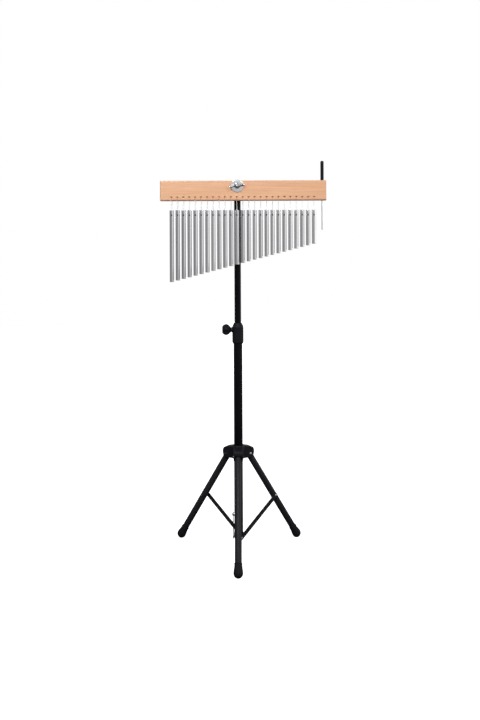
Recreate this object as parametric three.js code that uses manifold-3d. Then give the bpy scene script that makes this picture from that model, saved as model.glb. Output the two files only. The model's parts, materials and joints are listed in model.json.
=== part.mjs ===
// A bar chime: graded metal bars hung from a hardwood beam, with its striker, on a telescopic tripod stand.
// Millimetres, +Z up. The origin is on the mast's axis, at floor level. The player stands on the -Y side.
import * as THREE from "three";
import { mergeVertices } from "three/addons/utils/BufferGeometryUtils.js";
import Module from "manifold-3d";

const wasm = await Module();
wasm.setup();

// ---------- Driving dimensions ----------
const GAP = 0.3; // between touching pieces
const OVERSHOOT = 4; // how far a cutting tool runs past what it cuts

const mast = {
  lowerRadius: 12.7, // 25.4 mm steel tube
  lowerWall: 1.5,
  lowerFoot: 50,
  lowerTop: 648,
  upperRadius: 9.5, // 19 mm steel tube
  upperWall: 1.2,
  upperFoot: 440,
  upperTop: 1046,
};

const hub = {
  pivotRadius: 33, // from the mast's axis to a leg's pivot
  pivotHeight: 277,
  boreRadius: 14.3,
  sleeveRadius: 18.5,
  foot: 266,
  top: 304,
  lobeHalfWidth: 13.6,
  slotHalfWidth: 10.7,
  screwHeight: 293,
};

const leg = {
  azimuths: { front: -90, left: 150, right: 30 }, // degrees from +X, seen from above
  tilt: 32.2, // degrees from the vertical, unfolded
  radius: 9.5,
  wall: 1.2,
  endAbovePivot: 8,
  tubeLength: 311, // from the pivot to the end inside the foot
  bracePivot: 159, // along the leg, from its pivot
};

// axisHeight: where the leg's own line meets the middle of the toe; sleeveTop: along the leg, from its pivot.
const foot = { radius: 13, sleeveRadius: 10.9, neckAboveToe: 17, axisHeight: 12.2, sleeveTop: 287 };

const brace = {
  offset: 14.5, // from the plane through the leg's and the mast's axes
  halfWidth: 6,
  thickness: 2,
  holeRadius: 2.2,
};

const lowerCollar = {
  pivotHeight: 37,
  foot: 28,
  tipRadius: 9.6,
  tipHeight: 11, // of the taper below the full radius
  radius: 14.6,
  flat: 13.2, // from the mast's axis to the face behind each brace
  spigotTop: 74,
  pinDepth: 5, // from the mast's axis to the inner end of each rivet
};

const pin = {
  radius: 2,
  headRadius: 3.5,
  headHeight: 1.5,
  shoulderRadius: 4.6, // the spacer between a leg and its brace
  tailRadius: 2.8,
  tailHeight: 1.4,
  play: 2.4, // round the pins of the two pivots where the fold is opened
};

const bush = { floor: 4, depth: 26, drainRadius: 6 };

const clamp = {
  foot: 598,
  top: 657,
  radius: 16.4,
  mouthRadius: 14.2, // at the lower end, where a chamfer begins
  mouthHeight: 4,
  throatRadius: 11.4, // at the top end of the taper
  taper: 11,
  bossRadius: 7.6,
  bossEnd: 19.2,
  screwHeight: 637,
  screwRadius: 3,
};

const heightKnob = { radius: 16.8, neckRadius: 7, neckLength: 4.5, end: 46, lobes: 5, screwEnd: 33.2 };

const hubLock = {
  bossRadius: 7,
  bossEnd: 24,
  screwRadius: 2.5,
  screwEnd: 30,
  radius: 11.5,
  neckRadius: 5.4,
  neckLength: 2.7,
  end: 43,
  lobes: 5,
};

const headSize = { width: 25, depth: 24.4, foot: 1026, top: 1064, corner: 5 };

const beam = {
  length: 476,
  height: 58,
  thickness: 20,
  edgeRadius: 2.5,
  foot: 1009.5,
  back: -15.3, // Y of the face next to the mast
  endRadius: 4,
};

// The bolt through the head and the beam. Its distances run along -Y from the mast's axis.
const stud = {
  height: 1052.3,
  radius: 4,
  end: 52,
  headRadius: 8,
  headStart: -16.4,
  headEnd: -12.5,
};

const washers = { backRadius: 15, frontRadius: 18, thickness: 2 };

const wing = {
  bossRadius: 8,
  bossTipRadius: 6.4,
  height: 9,
  thickness: 3,
  pitch: 38, // degrees that a wing is turned about its own long line, like a propeller's blade
  pitchLine: 6, // from the washer to that line
  turn: 3, // degrees that the nut is turned from wings level
};

const bar = {
  count: 25,
  pitch: 17,
  radius: 6.25,
  top: 983.3,
  longest: 205.5,
  step: 4.5, // each bar is this much shorter than the one on its left
  crossHole: 14.3, // below the bar's top
  crossHoleRadius: 1.6,
  overMast: 11, // counted from 0, the bar that hangs in front of the mast
  leftOfMast: 1.1, // how far that bar's middle is from the mast's axis
};

const cordHole = { aboveBeamFoot: 11.3, radius: 1.4 };

const striker = {
  fromBeamEnd: 11.5,
  rodRadius: 2.2,
  rodFoot: 926,
  gripRadius: 4.8,
  gripTop: 1123.5,
  rodIntoGrip: 24,
  holeRadius: 2.7,
};

// ---------- Places worked out from them ----------
const tilt = THREE.MathUtils.degToRad(leg.tilt);
const bracePoint = {
  radius: hub.pivotRadius + leg.bracePivot * Math.sin(tilt),
  height: hub.pivotHeight - leg.bracePivot * Math.cos(tilt),
};
const braceRise = bracePoint.height - lowerCollar.pivotHeight;
const braceLength = Math.hypot(bracePoint.radius, braceRise);
const braceAngle = Math.atan2(braceRise, bracePoint.radius);

const firstBarX = -bar.leftOfMast - bar.overMast * bar.pitch;
const beamMiddleX = ((bar.count - 1) / 2 - bar.overMast) * bar.pitch;
const beamTop = beam.foot + beam.height;
const beamFront = beam.back - beam.thickness;
const beamMiddleY = (beam.back + beamFront) / 2;
const strikerX = beamMiddleX + beam.length / 2 - striker.fromBeamEnd;

// ---------- Materials ----------
function finish(color, roughness, metalness) {
  return new THREE.MeshStandardMaterial({ color, roughness, metalness });
}

const blackPaint = finish(0x17171a, 0.35, 0.4);
const blackPlastic = finish(0x1c1c1e, 0.55, 0);
const rubber = finish(0x121212, 0.85, 0);
const steel = finish(0xb9bcc0, 0.3, 1);
const chrome = finish(0xdde0e4, 0.12, 1);
const aluminium = finish(0xaeb1b4, 0.35, 1);
const beech = finish(0xe0a980, 0.5, 0);

// ---------- Shapes ----------
// A closed mesh as a solid, turned right side out.
function solid(geometry) {
  const bare = geometry.index ? geometry.toNonIndexed() : geometry.clone();
  bare.deleteAttribute("normal");
  bare.deleteAttribute("uv");
  const merged = mergeVertices(bare, 1e-4);
  const made = new wasm.Manifold(
    new wasm.Mesh({
      numProp: 3,
      vertProperties: merged.attributes.position.array,
      triVerts: new Uint32Array(merged.index.array),
    }),
  );
  return made.volume() < 0 ? solid(turnedInsideOut(merged)) : made;
}

function turnedInsideOut(geometry) {
  const flipped = geometry.clone();
  const index = flipped.index.array;
  for (let i = 0; i < index.length; i += 3) {
    [index[i + 1], index[i + 2]] = [index[i + 2], index[i + 1]];
  }
  return flipped;
}

function geometryOf(manifold) {
  const mesh = manifold.getMesh();
  const points = new Float32Array(mesh.numVert * 3);
  for (let i = 0; i < mesh.numVert; i++) {
    points.set(mesh.vertProperties.subarray(i * mesh.numProp, i * mesh.numProp + 3), i * 3);
  }
  const indexed = new THREE.BufferGeometry();
  indexed.setAttribute("position", new THREE.BufferAttribute(points, 3));
  indexed.setIndex(new THREE.BufferAttribute(mesh.triVerts, 1));
  const flat = indexed.toNonIndexed();
  flat.computeVertexNormals();
  return flat;
}

// A body of revolution about Z from its [radius, height] profile.
function turned(profile, segments = 24) {
  const points = profile.map(([r, z]) => new THREE.Vector2(r, z));
  return solid(new THREE.LatheGeometry(points, segments).rotateX(Math.PI / 2));
}

function rod(radius, from, to, segments = 16) {
  return turned([[0, from], [radius, from], [radius, to], [0, to]], segments);
}

function ring(outer, inner, from, to, segments = 24) {
  return turned([[inner, from], [outer, from], [outer, to], [inner, to], [inner, from]], segments);
}

// A flat outline of [a, b] points, pushed through `depth` along the third axis, centred on it.
function plate(outline, depth) {
  const shape = new THREE.Shape(outline.map(([a, b]) => new THREE.Vector2(a, b)));
  const made = new THREE.ExtrudeGeometry(shape, { depth, bevelEnabled: false });
  return solid(made.translate(0, 0, -depth / 2));
}

function block(sizeX, sizeY, sizeZ, x = 0, y = 0, z = 0) {
  return solid(new THREE.BoxGeometry(sizeX, sizeY, sizeZ).translate(x, y, z));
}

// A rounded rectangle's outline, sizes a by b, centred on the origin.
function roundedOutline(a, b, radius, steps = 3) {
  const corners = [[1, 1, 0], [-1, 1, 90], [-1, -1, 180], [1, -1, 270]];
  return corners.flatMap(([signA, signB, start]) =>
    Array.from({ length: steps + 1 }, (_, i) => {
      const angle = THREE.MathUtils.degToRad(start + (90 * i) / steps);
      return [
        signA * (a / 2 - radius) + radius * Math.cos(angle),
        signB * (b / 2 - radius) + radius * Math.sin(angle),
      ];
    }),
  );
}

// Quarter turns that lay a solid made along Z onto another axis.
const alongX = (s) => s.rotate([0, 90, 0]);
const alongMinusY = (s) => s.rotate([90, 0, 0]);

function named(name, manifold, material) {
  const mesh = new THREE.Mesh(geometryOf(manifold), material);
  mesh.name = name;
  return mesh;
}

// ---------- Mast ----------
function lowerTube() {
  const { lowerRadius, lowerWall, lowerFoot, lowerTop } = mast;
  const wall = ring(lowerRadius, lowerRadius - lowerWall, lowerFoot, lowerTop);
  const screwHole = alongX(rod(clamp.screwRadius + GAP, -lowerRadius - OVERSHOOT, 0, 12));
  return wall.subtract(screwHole.translate([0, 0, clamp.screwHeight]));
}

function upperTube() {
  return ring(mast.upperRadius, mast.upperRadius - mast.upperWall, mast.upperFoot, mast.upperTop);
}

// The plastic cup round the upper tube's lower end, which slides in the lower tube.
function slideBush() {
  const outer = mast.lowerRadius - mast.lowerWall - GAP;
  const inner = mast.upperRadius + GAP;
  const seat = mast.upperFoot - GAP;
  const floor = seat - bush.floor;
  const rim = seat + bush.depth;
  return turned([
    [bush.drainRadius, floor],
    [outer, floor],
    [outer, rim],
    [inner, rim],
    [inner, seat],
    [bush.drainRadius, seat],
    [bush.drainRadius, floor],
  ]);
}

// The sleeve on the lower tube's top, with the boss for the height screw on its -X side.
function clampCollar() {
  const { foot: low, top, radius } = clamp;
  const seat = mast.lowerTop + GAP;
  const shell = turned([
    [0, low],
    [clamp.mouthRadius, low],
    [radius, low + clamp.mouthHeight],
    [radius, top - clamp.taper],
    [clamp.throatRadius, top],
    [0, top],
  ]);
  const boss = alongX(rod(clamp.bossRadius, -clamp.bossEnd, -mast.lowerRadius));
  const overTube = rod(mast.lowerRadius + GAP, low - OVERSHOOT, seat, 24);
  const throat = rod(mast.upperRadius + GAP, seat - 1, top + OVERSHOOT, 24);
  const screwHole = alongX(rod(clamp.screwRadius + GAP, -clamp.bossEnd - OVERSHOOT, 0, 12));
  return shell
    .add(boss.translate([0, 0, clamp.screwHeight]))
    .subtract(overTube)
    .subtract(throat)
    .subtract(screwHole.translate([0, 0, clamp.screwHeight]));
}

// A lobed head on a narrower neck, made along Z from the distance `start`.
function lobedKnob({ radius, neckRadius, neckLength, end, lobes }, start) {
  const steps = lobes * 6;
  const outline = Array.from({ length: steps }, (_, i) => {
    const angle = (i / steps) * Math.PI * 2;
    const r = radius - radius * 0.09 * (1 - Math.cos(angle * lobes));
    return [r * Math.cos(angle), r * Math.sin(angle)];
  });
  const shoulder = start + neckLength;
  const length = end - shoulder;
  const head = plate(outline, length).translate([0, 0, shoulder + length / 2]);
  const envelope = turned(
    [
      [0, shoulder - 1],
      [neckRadius, shoulder - 1],
      [radius * 1.02, shoulder + length * 0.3],
      [radius * 1.02, end - length * 0.28],
      [radius * 0.72, end - 0.5],
      [0, end - 0.2],
    ],
    20,
  );
  const cone = [[0, start], [neckRadius - 0.6, start], [neckRadius, shoulder + 1], [0, shoulder + 1]];
  return head.intersect(envelope).add(turned(cone, 16));
}

// The height screw and its knob are made along Z, with the mast's axis at 0 and the knob outwards.
function clampScrew() {
  return rod(clamp.screwRadius, mast.upperRadius + GAP, heightKnob.screwEnd, 12);
}

function clampKnob() {
  const hole = rod(clamp.screwRadius + GAP, 0, heightKnob.screwEnd + GAP, 12);
  return lobedKnob(heightKnob, clamp.bossEnd + GAP).subtract(hole);
}

// ---------- Tripod ----------
// The side view of one lobe: [distance from the mast's axis, height].
function lobeOutline() {
  const { foot: low, top } = hub;
  return [
    [10, low], [38.5, low], [43, low + 5], [45.4, low + 14], [45.2, low + 22.5],
    [42, low + 29], [37, low + 31], [17, top - 3], [10, top - 2.5],
  ];
}

// The space in a lobe that the leg's end turns in.
function lobeSlotOutline() {
  const { foot: low, pivotHeight } = hub;
  const roof = pivotHeight + 13;
  return [
    [19, low - OVERSHOOT], [60, low - OVERSHOOT], [60, pivotHeight + 1], [43.9, pivotHeight + 4],
    [43.6, roof - 2.5], [41, roof], [19, roof],
  ];
}

function tripodHub() {
  const { foot: low, top, boreRadius, sleeveRadius, pivotRadius, pivotHeight } = hub;
  const azimuths = Object.values(leg.azimuths);
  const upright = (outline, depth) => plate(outline, depth).rotate([90, 0, 0]);
  const sleeve = [[0, low], [sleeveRadius, low], [sleeveRadius, top - 6], [boreRadius + 1.6, top], [0, top]];
  const lobe = upright(lobeOutline(), 2 * hub.lobeHalfWidth);
  const boss = alongMinusY(rod(hubLock.bossRadius, -hubLock.bossEnd, -mast.lowerRadius));
  let body = turned(sleeve).add(boss.translate([0, 0, hub.screwHeight]));
  for (const azimuth of azimuths) body = body.add(lobe.rotate([0, 0, azimuth]));

  const slot = upright(lobeSlotOutline(), 2 * hub.slotHalfWidth);
  const halfHole = hub.lobeHalfWidth + OVERSHOOT;
  const pinHole = alongMinusY(rod(pin.radius + GAP, -halfHole, halfHole, 12));
  const opening = slot.add(pinHole.translate([pivotRadius, 0, pivotHeight]));
  for (const azimuth of azimuths) body = body.subtract(opening.rotate([0, 0, azimuth]));

  const bore = rod(boreRadius, low - OVERSHOOT, top + OVERSHOOT, 24);
  const screwHole = alongMinusY(rod(hubLock.screwRadius + GAP, -hubLock.screwEnd, 0, 12));
  return body.subtract(bore).subtract(screwHole.translate([0, 0, hub.screwHeight]));
}

// The hub's locking screw with its knob, made along Z with the mast's axis at 0.
function hubKnob() {
  const screw = rod(hubLock.screwRadius, hub.boreRadius + GAP, hubLock.screwEnd, 12);
  return lobedKnob(hubLock, hubLock.bossEnd + GAP).add(screw);
}

// Made along Z with its pivot at 0 and the foot downwards.
function legTube(holeAtPivot) {
  const { radius, wall, endAbovePivot, tubeLength, bracePivot } = leg;
  const crossHole = (r, z) => alongMinusY(rod(r, -radius - 2, radius + 2, 12)).translate([0, 0, z]);
  return ring(radius, radius - wall, -tubeLength, endAbovePivot, 20)
    .subtract(crossHole(holeAtPivot, 0))
    .subtract(crossHole(pin.radius + GAP, -bracePivot));
}

// From the leg's own line to the upright plane through the leg and the mast.
function legPlacement() {
  return new THREE.Matrix4()
    .makeTranslation(hub.pivotRadius, 0, hub.pivotHeight)
    .multiply(new THREE.Matrix4().makeRotationY(-tilt));
}

// A rubber boot with a round toe, flat where it stands on the floor.
function rubberFoot() {
  const { radius, sleeveRadius, neckAboveToe, axisHeight, sleeveTop } = foot;
  const middle = -(hub.pivotHeight - axisHeight) / Math.cos(tilt);
  const arc = (degrees) => {
    const angle = THREE.MathUtils.degToRad(degrees);
    return [radius * Math.cos(angle), middle + radius * Math.sin(angle)];
  };
  const toe = [-90, -68, -46, -24, -2, 18].map(arc);
  toe[0][0] = 0;
  const neck = [[sleeveRadius, middle + neckAboveToe], [sleeveRadius - 0.6, -sleeveTop], [0, -sleeveTop]];
  const socket = rod(leg.radius + GAP, -leg.tubeLength - GAP, 0, 20);
  const boot = turned([...toe, ...neck], 20).subtract(socket);
  const floor = block(600, 600, 100, 0, 0, -50);
  return boot.rotate([0, -leg.tilt, 0]).translate([hub.pivotRadius, 0, hub.pivotHeight]).subtract(floor);
}

// A flat strip with round ends and a hole at each, from its lower pivot along +X.
function braceStrip() {
  const { halfWidth, holeRadius, thickness } = brace;
  const shape = new THREE.Shape();
  shape.absarc(braceLength, 0, halfWidth, -Math.PI / 2, Math.PI / 2, false);
  shape.absarc(0, 0, halfWidth, Math.PI / 2, (Math.PI * 3) / 2, false);
  for (const x of [0, braceLength]) {
    shape.holes.push(new THREE.Path().absarc(x, 0, holeRadius, 0, Math.PI * 2, true));
  }
  const made = new THREE.ExtrudeGeometry(shape, { depth: thickness, bevelEnabled: false, curveSegments: 6 });
  return alongMinusY(solid(made.translate(0, 0, -thickness / 2)));
}

// The plug in the mast's lower end, with a flat for each brace.
function lowerCollarPlug() {
  const { foot: low, radius, flat, tipRadius, tipHeight, spigotTop, pivotHeight, pinDepth } = lowerCollar;
  const shoulder = mast.lowerFoot - GAP;
  const spigot = mast.lowerRadius - mast.lowerWall - GAP;
  let plug = turned([
    [0, low],
    [tipRadius - 2, low],
    [tipRadius, low + 2],
    [radius, low + tipHeight],
    [radius, shoulder],
    [spigot, shoulder],
    [spigot, spigotTop],
    [0, spigotTop],
  ]);
  const facing = block(60, 20, 100, 0, -flat - 10, low);
  const pinHole = alongMinusY(rod(pin.radius + GAP, pinDepth, radius + OVERSHOOT, 12));
  const cut = facing.add(pinHole.translate([0, 0, pivotHeight]));
  for (const azimuth of Object.values(leg.azimuths)) plug = plug.subtract(cut.rotate([0, 0, azimuth]));
  return plug;
}

// A rivet along Z: its shank, and its head beyond the distance `to`.
function rivet(from, to) {
  const { radius, headRadius, headHeight } = pin;
  return turned(
    [
      [0, from],
      [radius, from],
      [radius, to],
      [headRadius, to],
      [headRadius - 0.8, to + headHeight],
      [0, to + headHeight],
    ],
    12,
  );
}

// A rivet's small far end, beyond the distance `-from`.
function rivetTail(from) {
  const { tailRadius, tailHeight } = pin;
  return rod(tailRadius, -from - tailHeight, -from, 12);
}

function hubPin() {
  const cheek = hub.lobeHalfWidth + GAP;
  return rivet(-cheek - 0.5, cheek).add(rivetTail(cheek));
}

function legPin() {
  const side = leg.radius + GAP;
  const inner = brace.offset - brace.thickness / 2 - GAP;
  const outer = brace.offset + brace.thickness / 2 + GAP;
  return rivet(-side - 0.5, outer).add(rivetTail(side)).add(rod(pin.shoulderRadius, side, inner, 12));
}

function collarPin() {
  return rivet(lowerCollar.pinDepth + GAP, brace.offset + brace.thickness / 2 + GAP);
}

// One leg with its foot, brace and pins, in the upright plane through the leg and the mast.
function legAssembly(name, azimuth) {
  const radial = new THREE.Group();
  radial.rotation.z = THREE.MathUtils.degToRad(azimuth);

  const hung = new THREE.Group();
  hung.applyMatrix4(legPlacement());
  // The front leg's hole fits its pin. The others are wider: the fold is opened at those two pivots.
  const holeAtPivot = pin.radius + (name === "front" ? GAP : pin.play);
  const crossPin = named(`leg_pin_${name}`, alongMinusY(legPin()), steel);
  crossPin.position.z = -leg.bracePivot;
  hung.add(named(`leg_${name}`, legTube(holeAtPivot), blackPaint), crossPin);

  const strip = named(`brace_${name}`, braceStrip(), blackPaint);
  strip.position.set(0, -brace.offset, lowerCollar.pivotHeight);
  strip.rotation.y = -braceAngle;
  const hubEnd = named(`hub_pin_${name}`, alongMinusY(hubPin()), steel);
  hubEnd.position.set(hub.pivotRadius, 0, hub.pivotHeight);
  const collarEnd = named(`collar_pin_${name}`, alongMinusY(collarPin()), steel);
  collarEnd.position.z = lowerCollar.pivotHeight;
  radial.add(hung, named(`foot_${name}`, rubberFoot(), rubber), strip, hubEnd, collarEnd);
  return radial;
}

// ---------- Head ----------
// The block on the upper tube's top that holds the stud, with its flat face towards the beam.
function headBlock() {
  const { width, depth, foot: low, top, corner } = headSize;
  const shell = plate(roundedOutline(width, depth, corner), top - low).translate([0, 0, (top + low) / 2]);
  const socket = rod(mast.upperRadius + GAP, low - OVERSHOOT, mast.upperTop + GAP, 24);
  const studHole = alongMinusY(rod(stud.radius + GAP, -depth, depth)).translate([0, 0, stud.height]);
  return shell.subtract(socket).subtract(studHole);
}

// A carriage bolt, made along Z with the mast's axis at 0 and its end towards the player.
function beamStud() {
  const { radius, end, headRadius, headStart, headEnd } = stud;
  return turned(
    [
      [0, headStart],
      [headRadius * 0.5, headStart + 0.4],
      [headRadius * 0.88, headStart + 1.8],
      [headRadius, headEnd],
      [radius, headEnd],
      [radius, end - 1],
      [radius - 0.8, end],
      [0, end],
    ],
    16,
  );
}

function washer(outerRadius, from, to) {
  return ring(outerRadius, stud.radius + GAP, from, to);
}

// A boss with a wing on each side, made along Z from the distance `start`.
function wingNut(start) {
  const { bossRadius, bossTipRadius, height, thickness, pitch, pitchLine, turn } = wing;
  const outline = [
    [5, 1], [9, 1.2], [16, 3.2], [21.5, 6.4], [22.6, 9.8],
    [21, 12.2], [17.5, 12.6], [12, 9.6], [5, 8],
  ];
  const right = plate(outline, thickness)
    .rotate([90, 0, 0])
    .translate([0, 0, -pitchLine])
    .rotate([-pitch, 0, 0])
    .translate([0, 0, pitchLine]);
  const boss = turned([[0, 0], [bossRadius, 0], [bossTipRadius, height], [0, height]], 20);
  const thread = rod(stud.radius + GAP, -OVERSHOOT, height + OVERSHOOT);
  const nut = boss.add(right).add(right.rotate([0, 0, 180])).subtract(thread);
  return nut.rotate([0, 0, turn]).translate([0, 0, start]);
}

// ---------- Beam, bars and striker ----------
function beamWood() {
  const section = roundedOutline(beam.thickness, beam.height, beam.edgeRadius);
  const ends = roundedOutline(beam.length, beam.thickness, beam.endRadius);
  const middle = [beamMiddleX, beamMiddleY, beam.foot + beam.height / 2];
  const long = plate(section, beam.length).rotate([90, 0, 90]);
  let wood = long.intersect(plate(ends, beam.height + OVERSHOOT)).translate(middle);
  const through = (radius, x, z, segments) =>
    alongMinusY(rod(radius, -beam.back - OVERSHOOT, -beamFront + OVERSHOOT, segments)).translate([x, 0, z]);
  const holes = Array.from({ length: bar.count }, (_, i) =>
    through(cordHole.radius, firstBarX + i * bar.pitch, beam.foot + cordHole.aboveBeamFoot, 6),
  );
  holes.push(through(stud.radius + 2 * GAP, 0, stud.height, 16));
  const strikerHole = rod(striker.holeRadius, beam.foot - OVERSHOOT, beamTop + OVERSHOOT, 12);
  holes.push(strikerHole.translate([strikerX, beamMiddleY, 0]));
  for (const hole of holes) wood = wood.subtract(hole);
  return wood;
}

// Bar number i, counted from 0 at the long end.
function chimeBar(i) {
  const length = bar.longest - i * bar.step;
  const { radius, top, crossHole, crossHoleRadius } = bar;
  const hole = alongMinusY(rod(crossHoleRadius, -radius - OVERSHOOT, radius + OVERSHOOT, 8));
  return rod(radius, top - length, top).subtract(hole.translate([0, 0, top - crossHole]));
}

function strikerRod() {
  return rod(striker.rodRadius, striker.rodFoot, beamTop + striker.rodIntoGrip, 12);
}

function strikerGrip() {
  const { gripRadius: r, gripTop: top } = striker;
  const low = beamTop + GAP;
  const outside = turned(
    [
      [0, low],
      [r - 0.8, low],
      [r, low + 1.2],
      [r, top - 4],
      [r * 0.8, top - 1.4],
      [r * 0.4, top - 0.2],
      [0, top],
    ],
    16,
  );
  const socket = rod(striker.rodRadius + GAP, low - OVERSHOOT, beamTop + striker.rodIntoGrip + GAP, 12);
  return outside.subtract(socket);
}

// ---------- The object ----------
const barChime = new THREE.Group();

barChime.add(
  named("lower_tube", lowerTube(), blackPaint),
  named("upper_tube", upperTube(), blackPaint),
  named("slide_bush", slideBush(), blackPlastic),
  named("clamp_collar", clampCollar(), blackPlastic),
  named("tripod_hub", tripodHub(), blackPlastic),
  named("lower_collar", lowerCollarPlug(), blackPlastic),
  named("head_block", headBlock(), blackPlastic),
);

const heightScrew = new THREE.Group();
heightScrew.position.z = clamp.screwHeight;
heightScrew.rotation.y = -Math.PI / 2;
heightScrew.add(named("clamp_screw", clampScrew(), steel), named("clamp_knob", clampKnob(), blackPlastic));
barChime.add(heightScrew);

const hubScrew = named("hub_knob", hubKnob(), blackPlastic);
hubScrew.position.z = hub.screwHeight;
hubScrew.rotation.x = -Math.PI / 2;
barChime.add(hubScrew);

for (const [name, azimuth] of Object.entries(leg.azimuths)) barChime.add(legAssembly(name, azimuth));

const headStack = new THREE.Group();
const beforeBeam = -beam.back - GAP;
const pastBeam = -beamFront + GAP;
headStack.position.z = stud.height;
headStack.rotation.x = Math.PI / 2;
headStack.add(
  named("beam_stud", beamStud(), steel),
  named("back_washer", washer(washers.backRadius, headSize.depth / 2 + GAP, beforeBeam), rubber),
  named("front_washer", washer(washers.frontRadius, pastBeam, pastBeam + washers.thickness), chrome),
  named("wing_nut", wingNut(pastBeam + washers.thickness + GAP), chrome),
);
barChime.add(headStack);

barChime.add(named("beam", beamWood(), beech));

for (let i = 0; i < bar.count; i++) {
  const hanging = named(`bar_${String(i + 1).padStart(2, "0")}`, chimeBar(i), aluminium);
  hanging.position.set(firstBarX + i * bar.pitch, beamMiddleY, 0);
  barChime.add(hanging);
}

const beater = new THREE.Group();
beater.position.set(strikerX, beamMiddleY, 0);
beater.add(named("striker_rod", strikerRod(), steel), named("striker_grip", strikerGrip(), blackPlastic));
barChime.add(beater);

export default barChime;
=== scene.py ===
"""The looks of a bar chime on its tripod stand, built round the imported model. Metres, +Z up."""

import json
import math

import bmesh
import bpy
from mathutils import Matrix, Vector

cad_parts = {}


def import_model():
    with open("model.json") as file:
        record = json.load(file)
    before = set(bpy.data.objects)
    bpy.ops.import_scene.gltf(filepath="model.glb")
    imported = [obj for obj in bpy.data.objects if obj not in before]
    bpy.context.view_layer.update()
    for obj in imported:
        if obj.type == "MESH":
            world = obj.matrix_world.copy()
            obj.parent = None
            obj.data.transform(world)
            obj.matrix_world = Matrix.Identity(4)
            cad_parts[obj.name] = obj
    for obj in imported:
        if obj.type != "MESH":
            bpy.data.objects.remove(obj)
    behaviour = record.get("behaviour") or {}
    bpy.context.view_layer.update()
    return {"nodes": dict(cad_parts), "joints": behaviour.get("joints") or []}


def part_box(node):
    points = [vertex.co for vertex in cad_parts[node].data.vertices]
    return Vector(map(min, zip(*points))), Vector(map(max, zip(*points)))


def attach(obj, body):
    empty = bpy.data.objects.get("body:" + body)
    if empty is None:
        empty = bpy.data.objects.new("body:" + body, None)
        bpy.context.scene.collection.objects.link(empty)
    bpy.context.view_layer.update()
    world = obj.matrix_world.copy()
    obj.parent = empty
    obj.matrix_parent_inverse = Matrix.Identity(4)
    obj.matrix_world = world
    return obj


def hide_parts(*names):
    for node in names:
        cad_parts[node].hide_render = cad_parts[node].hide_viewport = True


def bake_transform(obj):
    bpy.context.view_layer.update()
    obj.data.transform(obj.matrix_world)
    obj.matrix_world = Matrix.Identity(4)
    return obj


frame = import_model()

MM = 0.001
UP = Vector((0, 0, 1))
SIDES = ("front", "left", "right")
JOINTS = {joint["name"]: joint for joint in frame["joints"]}


# ---------- Places, read from the frame ----------
def pivot(joint):
    return Vector(JOINTS[joint]["pos_m"])


def middle(node):
    low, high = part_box(node)
    return (low + high) / 2


def size(node):
    low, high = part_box(node)
    return high - low


BEAM_LOW, BEAM_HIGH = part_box("beam")
BEAM_MIDDLE = middle("beam")
STUD_HEIGHT = middle("beam_stud").z
CORD_HOLE_ABOVE_BEAM_FOOT = 11.3 * MM
CORD_HOLE_HEIGHT = BEAM_LOW.z + CORD_HOLE_ABOVE_BEAM_FOOT
CROSS_HOLE_BELOW_BAR_TOP = 14.3 * MM
BARS = sorted(node for node in frame["nodes"] if node.startswith("bar_"))

HUB_PIVOT = pivot("hub_fold")
LEG_PIN = pivot("leg_front_fold")
LEG_TILT = math.atan2(abs(LEG_PIN.y) - abs(HUB_PIVOT.y), HUB_PIVOT.z - LEG_PIN.z)
PIN_DOWN_LEG = math.hypot(abs(LEG_PIN.y) - abs(HUB_PIVOT.y), HUB_PIVOT.z - LEG_PIN.z)
COLLAR_PIN_HEIGHT = pivot("brace_front_fold").z
BRACE_OFFSET = abs(pivot("brace_front_fold").x)
BRACE_RISE = LEG_PIN.z - COLLAR_PIN_HEIGHT
BRACE_ANGLE = math.atan2(BRACE_RISE, abs(LEG_PIN.y))
BRACE_LENGTH = math.hypot(BRACE_RISE, abs(LEG_PIN.y))


def azimuth(side):
    """The compass direction of a leg, seen from above: 0 is +X."""
    axis = JOINTS["brace_" + side + "_fold"]["axis"]
    return math.atan2(axis[0], -axis[1])


# ---------- Placements ----------
def turned_about(axis, degrees):
    return Matrix.Rotation(math.radians(degrees), 4, axis)


def moved(x, y, z):
    return Matrix.Translation((x, y, z))


def upright_plane(side):
    """From a leg's own upright plane, with +X outwards, to its place round the mast."""
    return Matrix.Rotation(azimuth(side), 4, "Z")


TO_PLAYER = turned_about("X", 90)
FROM_PLAYER = turned_about("X", -90)
TO_LEFT = turned_about("Y", -90)


def at_hub_pivot(side):
    return upright_plane(side) @ moved(abs(HUB_PIVOT.y), 0, HUB_PIVOT.z)


def along_leg(side):
    """Z runs up the leg from its pivot in the hub."""
    return at_hub_pivot(side) @ Matrix.Rotation(-LEG_TILT, 4, "Y")


def leg_pin_place(side):
    """Z runs along the pin."""
    return along_leg(side) @ Matrix.Translation(-UP * PIN_DOWN_LEG) @ TO_PLAYER


def collar_pin_place(side):
    """Z runs along the pin."""
    return upright_plane(side) @ moved(0, 0, COLLAR_PIN_HEIGHT) @ TO_PLAYER


# ---------- Shapes ----------
def arc(middle_point, radius, start, end, steps=6):
    """Points [a, b] along an arc, angles in degrees."""
    a, b = middle_point
    angles = [math.radians(start + (end - start) * i / steps) for i in range(steps + 1)]
    return [(a + radius * math.cos(t), b + radius * math.sin(t)) for t in angles]


def softened(points, closed=False, steps=4):
    """A point's third value, if it has one, is how far its corner is rounded back along its two sides."""
    made = []
    for i, point in enumerate(points):
        here = Vector(point[:2])
        if len(point) < 3 or not (closed or 0 < i < len(points) - 1):
            made.append(here)
            continue
        before = Vector(points[i - 1][:2]) - here
        after = Vector(points[(i + 1) % len(points)][:2]) - here
        start = here + before.normalized() * min(point[2], before.length * 0.48)
        end = here + after.normalized() * min(point[2], after.length * 0.48)
        for k in range(steps + 1):
            t = k / steps
            made.append(start * (1 - t) ** 2 + here * 2 * t * (1 - t) + end * t**2)
    return made


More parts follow.
